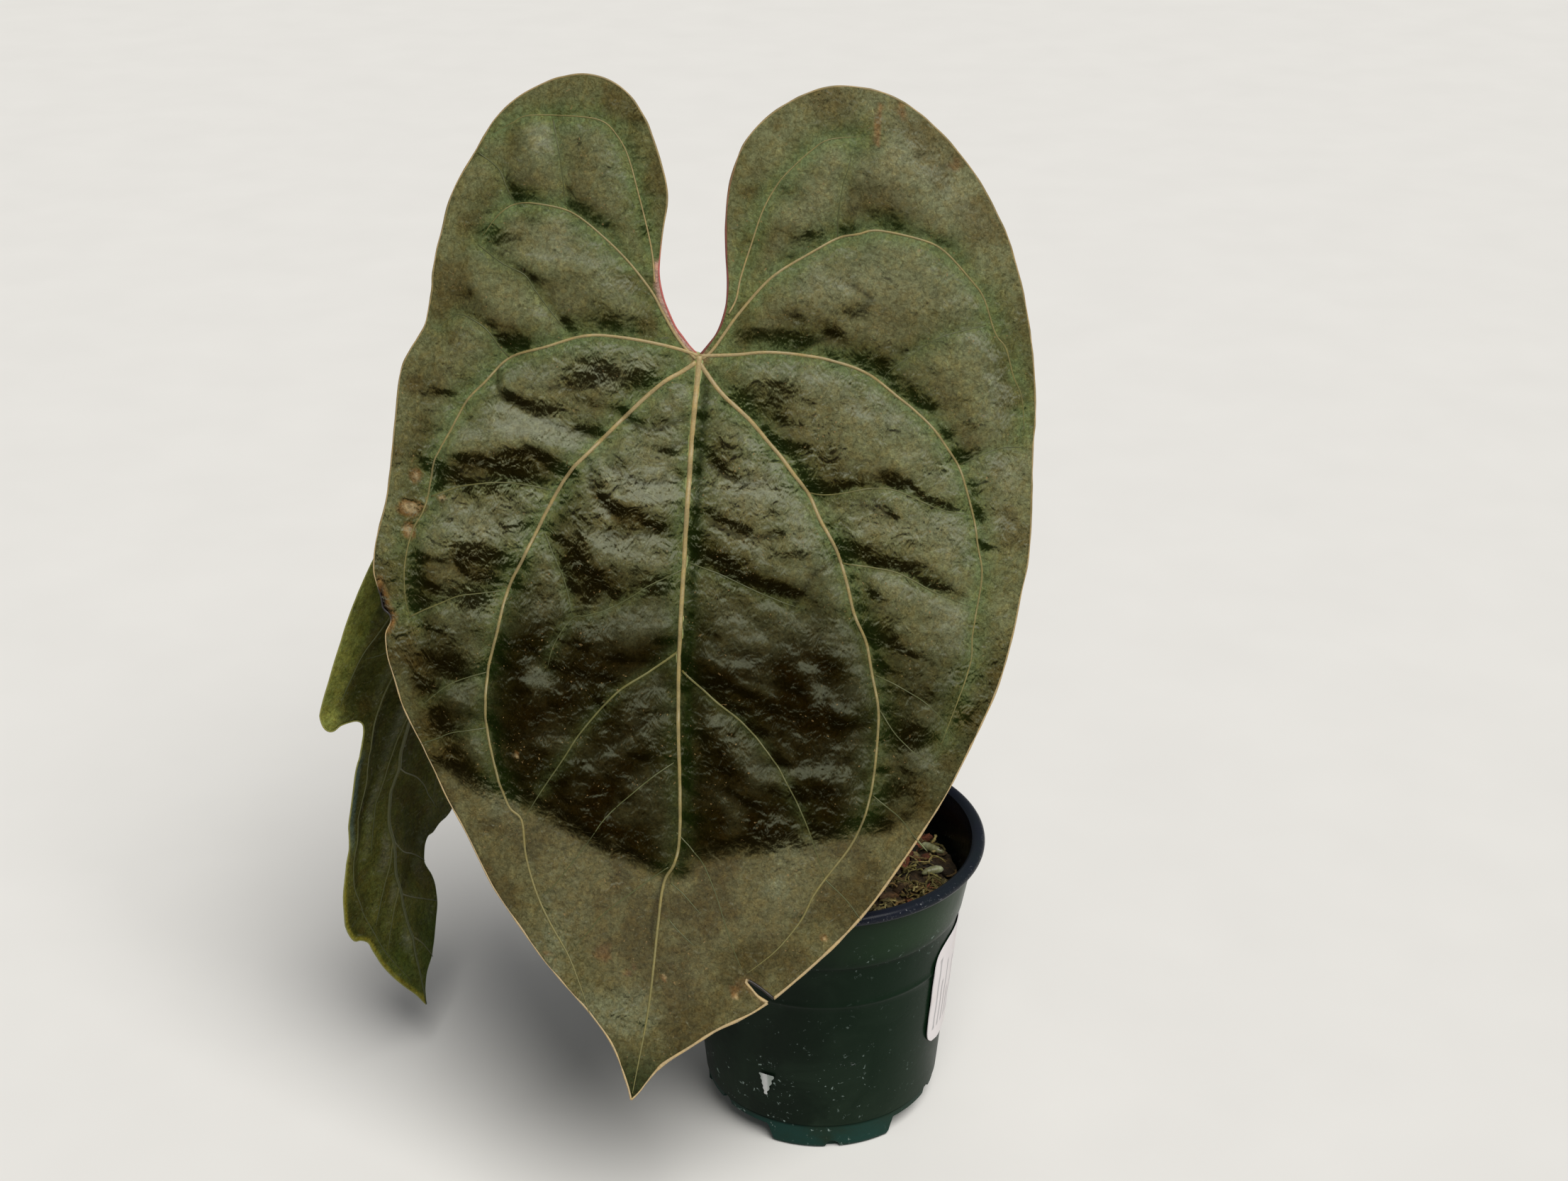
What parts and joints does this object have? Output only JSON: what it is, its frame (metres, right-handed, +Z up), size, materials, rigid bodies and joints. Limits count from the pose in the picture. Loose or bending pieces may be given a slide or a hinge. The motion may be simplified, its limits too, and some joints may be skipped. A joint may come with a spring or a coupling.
{
  "type": "potted anthurium",
  "caption": "Potted anthurium: a tapered nursery pot of bark and moss mix with a large heart-shaped velvety leaf and a smaller drooping leaf.",
  "frame": {"origin": "centre of the flat underside of the pot, on the plane it rests on", "axes": "+Z up along the pot's axis; -Y towards the face of the large leaf; +X to the right seen from the front"},
  "size_m": [0.2231, 0.1522, 0.351],
  "materials": {
    "pot_plastic": "thin moulded nursery-pot plastic, satin dark green outside, black at the lip and inside, with dust and lime spots",
    "label_paper": "white sticker paper, matt",
    "mix": "loose bark, fibre and dry moss, rough",
    "bark": "dry reddish bark, rough",
    "moss": "dry olive-brown sphagnum strands",
    "root": "pale fat aerial root tips, slightly waxy",
    "stem_tissue": "green-brown ringed stem",
    "stalk": "smooth green leaf stalk",
    "knee": "slightly swollen paler joint of the stalk",
    "front_blade": "velvety dark olive-green blade with pale sunken veins, a sheen where the light grazes it and a thin tan margin",
    "rear_blade": "older plain green blade with raised paler veins and a yellowing margin"
  },
  "bodies": {
    "root": {"pot": "pot_plastic", "pot_label": "label_paper", "label_scrap": "label_paper", "potting_mix": "mix", "stem": "stem_tissue", "bark_chip_1": "bark", "bark_chip_2": "bark", "bark_chip_3": "bark", "bark_chip_4": "bark", "bark_chip_5": "bark", "bark_chip_6": "bark", "moss_clump_1": "moss", "moss_clump_2": "moss", "moss_clump_3": "moss", "moss_clump_4": "moss", "moss_clump_5": "moss", "moss_clump_6": "moss", "root_tip_1": "root", "root_tip_2": "root", "root_tip_3": "root", "front_petiole": "stalk", "front_geniculum": "knee", "front_leaf_blade": "front_blade", "rear_petiole": "stalk", "rear_geniculum": "knee", "rear_leaf_blade": "rear_blade"}
  },
  "joints": []
}
